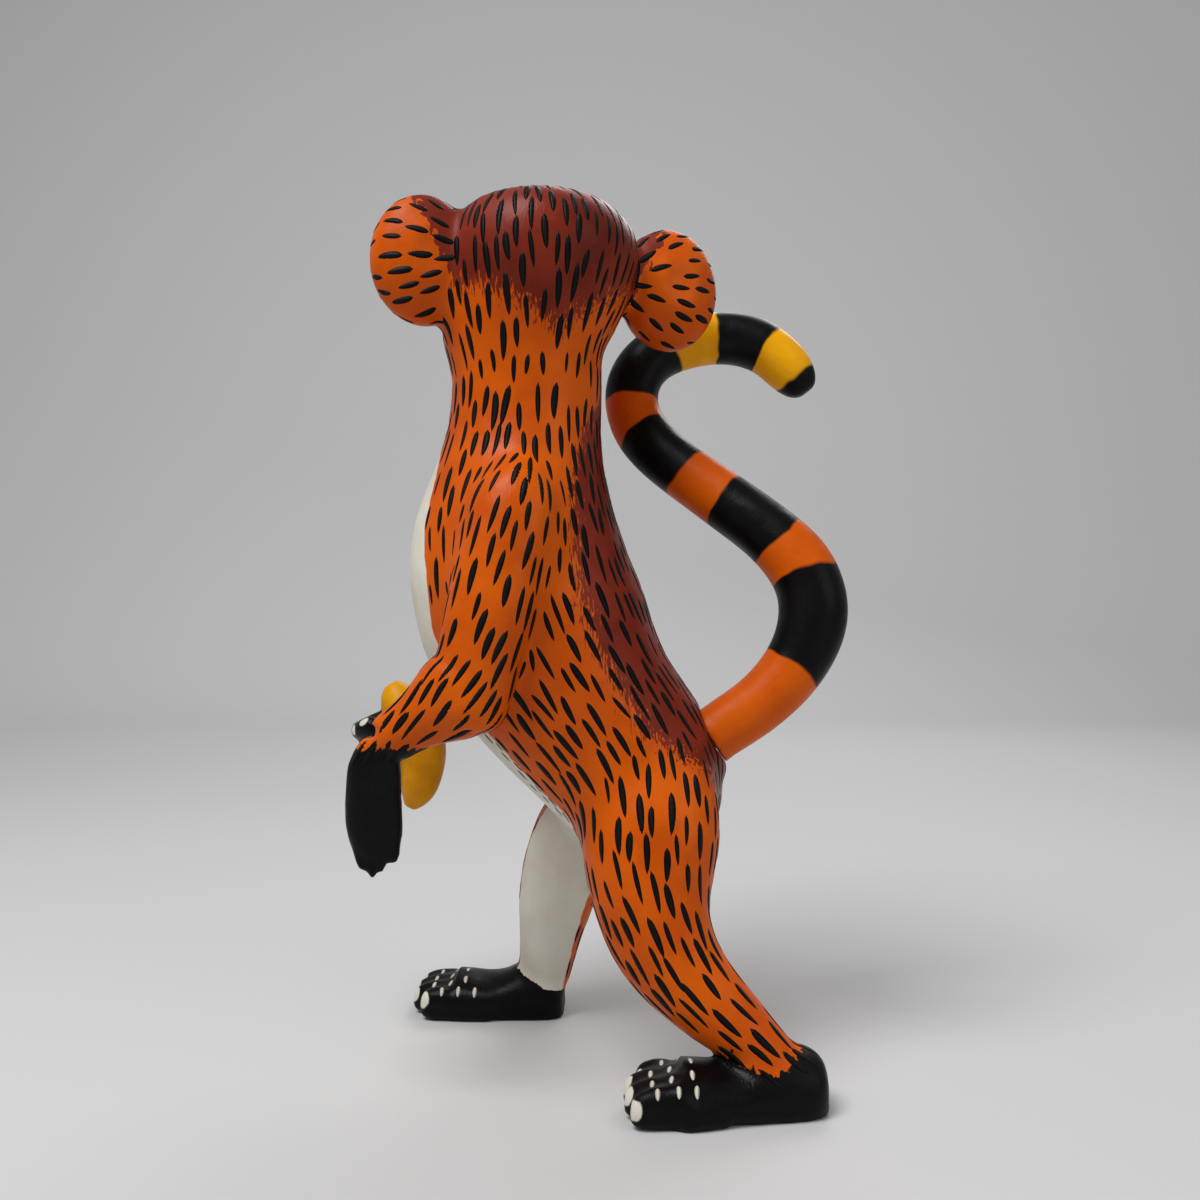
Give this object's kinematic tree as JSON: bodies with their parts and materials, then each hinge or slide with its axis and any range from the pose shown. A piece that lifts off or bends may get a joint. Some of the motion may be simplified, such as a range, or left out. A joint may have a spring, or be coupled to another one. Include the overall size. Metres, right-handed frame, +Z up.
{
  "type": "monkey figurine",
  "caption": "Carved wooden monkey figurine painted with fur strokes, walking upright with its head turned, a curled banded tail and a banana in its right hand.",
  "frame": {"origin": "on the ground under the soles, in the middle of the figure's outline seen from above", "axes": "+Z up; the monkey walks towards -Y; +X is its left side"},
  "size_m": [0.1222, 0.1745, 0.2964],
  "materials": {
    "fur_paint": "satin paint on carved wood",
    "tail_paint": "satin paint in bands",
    "banana_paint": "satin paint",
    "bare_wood": "plain"
  },
  "bodies": {
    "figure": {"torso": "fur_paint", "head": "fur_paint", "left_arm": "fur_paint", "right_arm": "fur_paint", "left_leg": "fur_paint", "right_leg": "fur_paint", "banana": "banana_paint", "banana_pin": "bare_wood", "neck_dowel": "bare_wood", "left_shoulder_dowel": "bare_wood", "right_shoulder_dowel": "bare_wood", "left_hip_dowel": "bare_wood", "right_hip_dowel": "bare_wood"},
    "left_ear_plug": {"left_ear": "fur_paint", "left_ear_peg": "bare_wood"},
    "right_ear_plug": {"right_ear": "fur_paint", "right_ear_peg": "bare_wood"},
    "tail_pivot": {"tail_dowel": "bare_wood"},
    "tail_piece": {"tail": "tail_paint"}
  },
  "joints": [
    {"name": "tail_turn", "type": "hinge", "parent": "figure", "child": "tail_pivot", "pos_m": [0.00279, 0.03939, 0.11043], "axis": [0, 0.8434, 0.5373], "range_deg": [-40, 0]},
    {"name": "tail_pull", "type": "slide", "parent": "tail_pivot", "child": "tail_piece", "axis": [0, 0.8434, 0.5373], "range_m": [0, 0.02]},
    {"name": "left_ear_pull", "type": "slide", "parent": "figure", "child": "left_ear_plug", "axis": [0.3338, -0.9426, 0], "range_m": [0, 0.012]},
    {"name": "right_ear_pull", "type": "slide", "parent": "figure", "child": "right_ear_plug", "axis": [-0.3338, 0.9426, 0], "range_m": [0, 0.012]}
  ]
}
